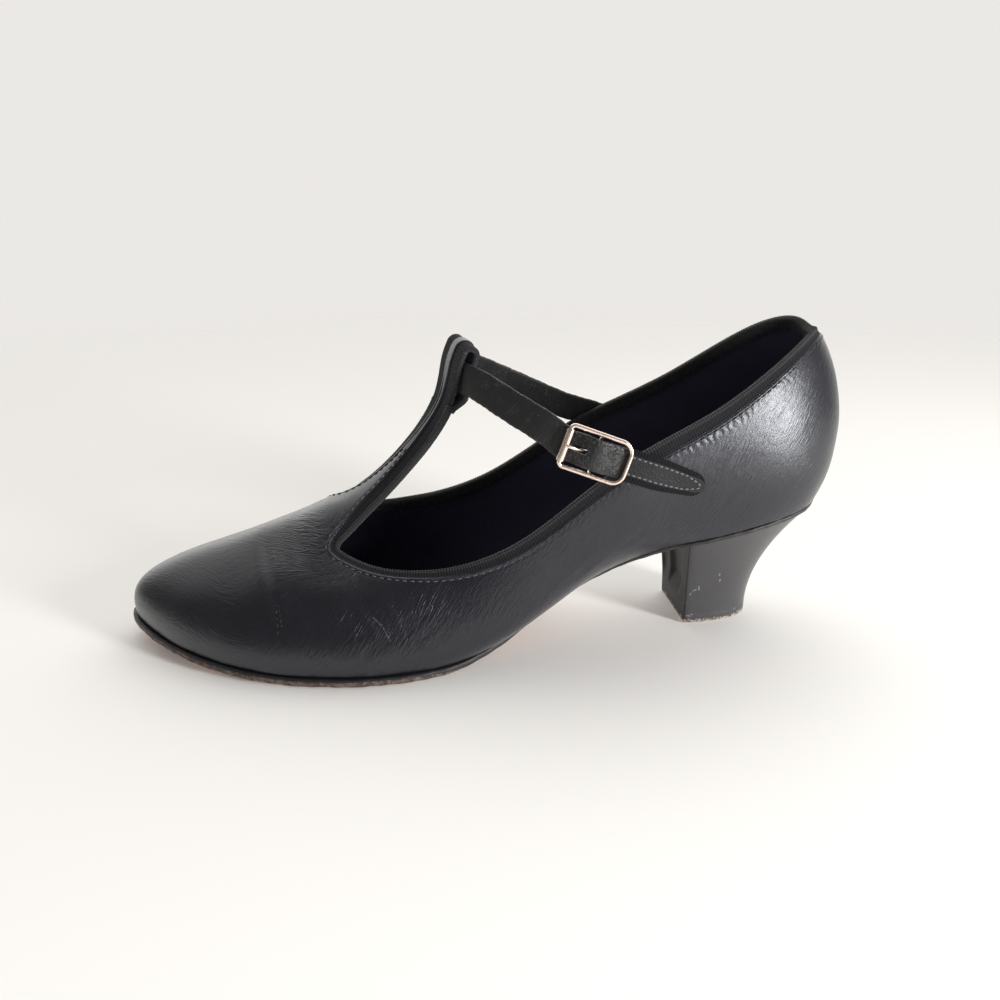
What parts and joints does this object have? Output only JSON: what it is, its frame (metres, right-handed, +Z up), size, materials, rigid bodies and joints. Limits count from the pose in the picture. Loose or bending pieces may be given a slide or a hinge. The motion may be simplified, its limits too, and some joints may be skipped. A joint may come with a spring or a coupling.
{
  "type": "t-strap dance shoe",
  "caption": "Left T-strap dance shoe in smooth black leather, with a rounded toe, an ankle strap that runs through the T-bar loop to an outer buckle, a curved-back heel and a thin leather sole.",
  "frame": {"origin": "on the floor, under the centre of the shoe's box", "axes": "toe towards -X, heel towards +X, outer side with the buckle towards -Y, +Z up"},
  "size_m": [0.249, 0.082, 0.1063],
  "materials": {
    "black_leather": "satin, fine grain",
    "strap_leather": "worn, finely cracked",
    "black_ribbon": "ribbed grosgrain",
    "navy_lining": "matt",
    "sole_leather": "worn suede, dark edge",
    "black_heel": "satin",
    "worn_top_piece": "worn",
    "buckle_metal": "pale, polished, a little worn"
  },
  "bodies": {
    "root": {"upper": "black_leather", "topline_ribbon": "black_ribbon", "outsole": "sole_leather", "insole": "navy_lining", "heel": "black_heel", "heel_top_piece": "worn_top_piece", "ankle_strap": "strap_leather", "buckle_tab": "strap_leather", "buckle_frame": "buckle_metal", "buckle_roller": "buckle_metal", "buckle_prong": "buckle_metal"}
  },
  "joints": []
}
